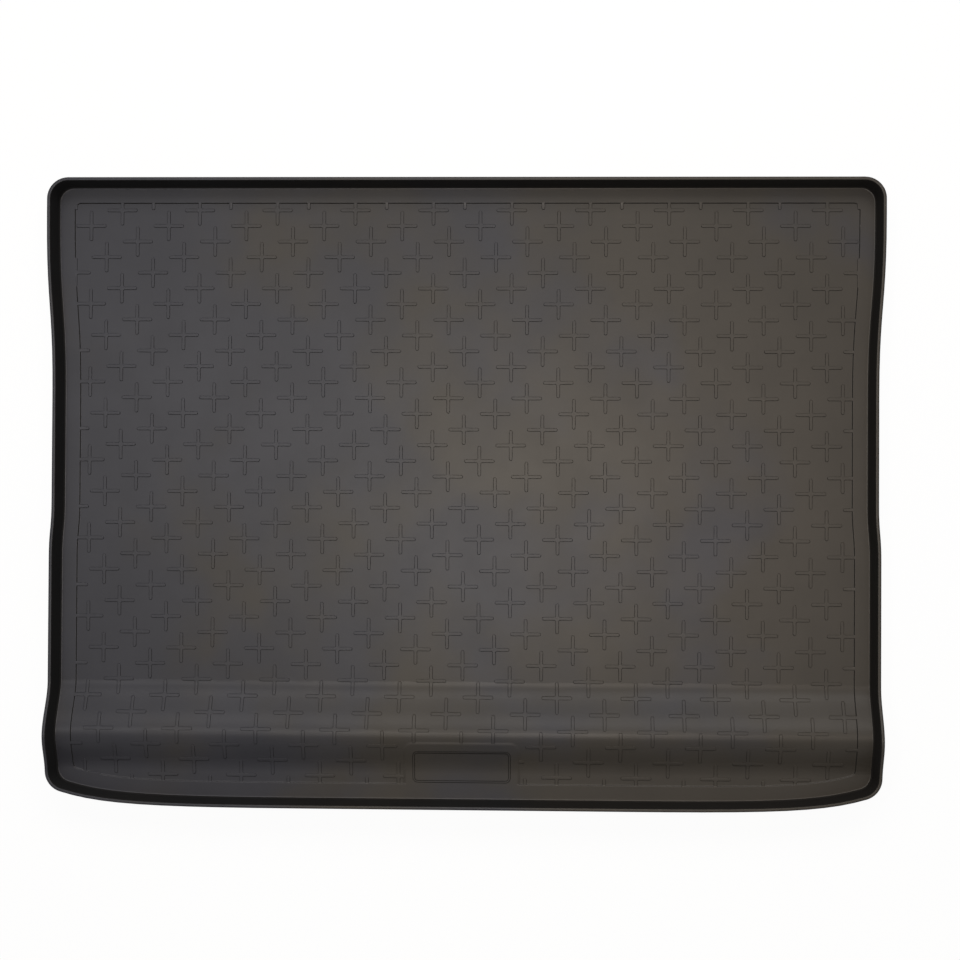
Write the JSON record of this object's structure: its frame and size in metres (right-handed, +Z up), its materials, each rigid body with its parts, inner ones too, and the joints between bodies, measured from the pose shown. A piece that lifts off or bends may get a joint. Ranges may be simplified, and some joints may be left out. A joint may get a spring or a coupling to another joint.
{
  "type": "car boot liner",
  "caption": "Moulded rubber tray that lines a car's boot floor, with a raised rim all round, a low hump behind the sill and a tread of raised plus signs.",
  "frame": {"origin": "middle of the underside's bounding box, on the plane that the floor rests on", "axes": "+Z up, +Y from the boot sill to the seats, +X to the right seen from the sill"},
  "size_m": [1.058, 0.794, 0.065],
  "materials": {
    "rubber": "matt moulded black rubber with a slight satin sheen, mottled and a little dusty"
  },
  "bodies": {
    "root": {"boot_liner": "rubber"}
  },
  "joints": []
}
